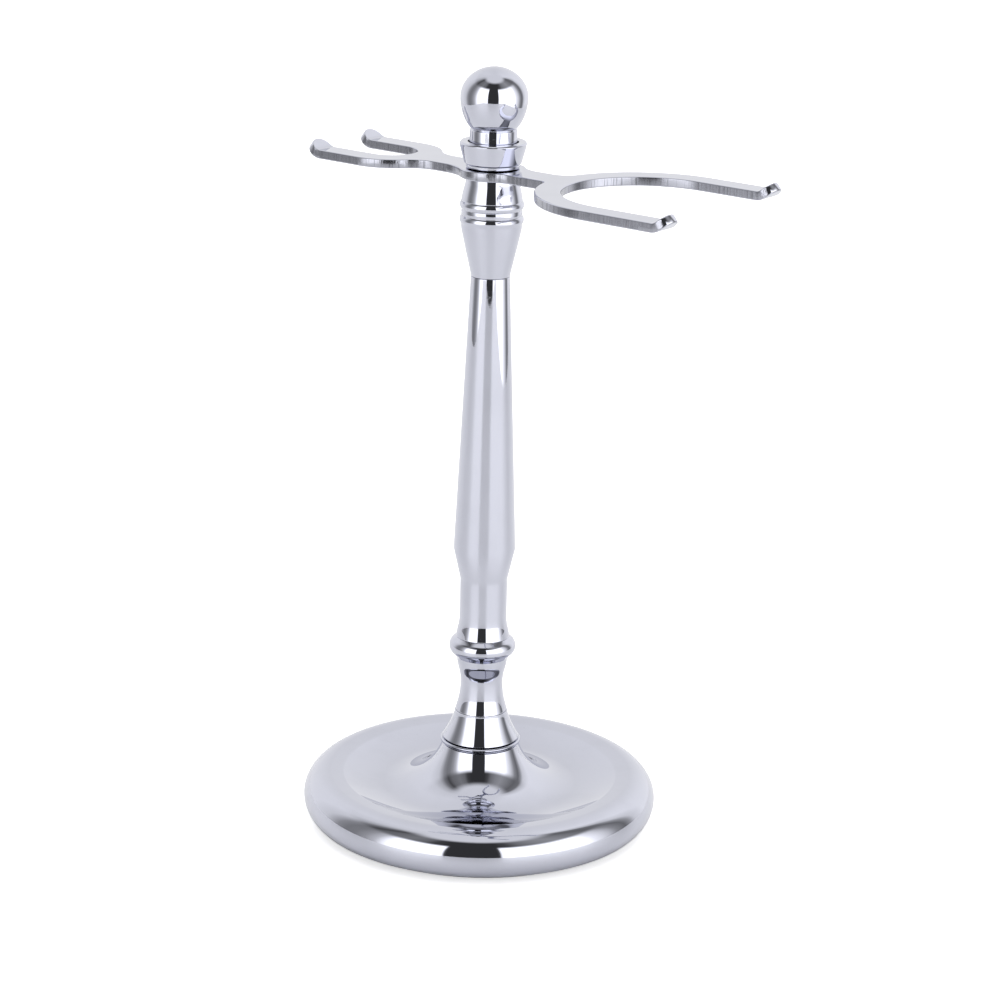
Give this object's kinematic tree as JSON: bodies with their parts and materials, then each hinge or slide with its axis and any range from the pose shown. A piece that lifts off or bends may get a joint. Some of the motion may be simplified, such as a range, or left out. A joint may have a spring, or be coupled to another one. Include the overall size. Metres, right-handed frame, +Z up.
{
  "type": "razor stand",
  "caption": "Chromed pedestal stand with a wide brush fork and a narrow razor fork on one swivelling plate, clamped by a ball finial.",
  "frame": {"origin": "middle of the pad's underside, on the stem's axis", "axes": "+Z up the stem, +X towards the open end of the wide brush fork, -X towards the open end of the narrow razor fork"},
  "size_m": [0.0957, 0.072, 0.1549],
  "materials": {
    "base_shell": "mirror polished chrome plate on cast zinc",
    "foot_pad": "black foam rubber",
    "base_cover": "plain sheet steel",
    "base_weight": "rough cast iron",
    "base_nut": "zinc plated",
    "lock_washer": "zinc plated",
    "base_washer": "zinc plated",
    "foot_ring": "mirror polished",
    "foot_cone": "mirror polished",
    "waist_spindle": "mirror polished",
    "bead_ring": "mirror polished",
    "column": "mirror polished",
    "barrel_collar": "mirror polished",
    "stem_washer": "zinc plated",
    "stem_nut": "zinc plated",
    "tie_rod": "zinc plated studding",
    "fork_washer": "natural nylon",
    "fork_plate": "polished faces, finely striated cut edges",
    "finial_collar": "mirror polished",
    "finial_washer": "red vulcanised fibre",
    "ball_finial": "mirror polished"
  },
  "bodies": {
    "stem": {"base_shell": "base_shell", "foot_pad": "foot_pad", "base_cover": "base_cover", "base_weight": "base_weight", "base_nut": "base_nut", "lock_washer": "lock_washer", "base_washer": "base_washer", "foot_ring": "foot_ring", "foot_cone": "foot_cone", "waist_spindle": "waist_spindle", "bead_ring": "bead_ring", "column": "column", "barrel_collar": "barrel_collar", "stem_washer": "stem_washer", "stem_nut": "stem_nut", "tie_rod": "tie_rod", "fork_washer": "fork_washer", "finial_collar": "finial_collar"},
    "fork": {"fork_plate": "fork_plate"},
    "finial_foot": {"finial_washer": "finial_washer"},
    "finial": {"ball_finial": "ball_finial"}
  },
  "joints": [
    {"name": "fork_swivel", "type": "hinge", "parent": "stem", "child": "fork", "pos_m": [0, 0, 0.1345], "axis": [0, 0, 1], "continuous": true},
    {"name": "finial_rise", "type": "slide", "parent": "stem", "child": "finial_foot", "axis": [0, 0, 1], "range_m": [0, 0.00771]},
    {"name": "finial_turn", "type": "hinge", "parent": "finial_foot", "child": "finial", "pos_m": [0, 0, 0.149], "axis": [0, 0, 1], "range_deg": [0, 3960]}
  ],
  "couplings": [
    {"joint": "finial_rise", "follows": "finial_turn", "m_per_rad": 0.00011141}
  ]
}
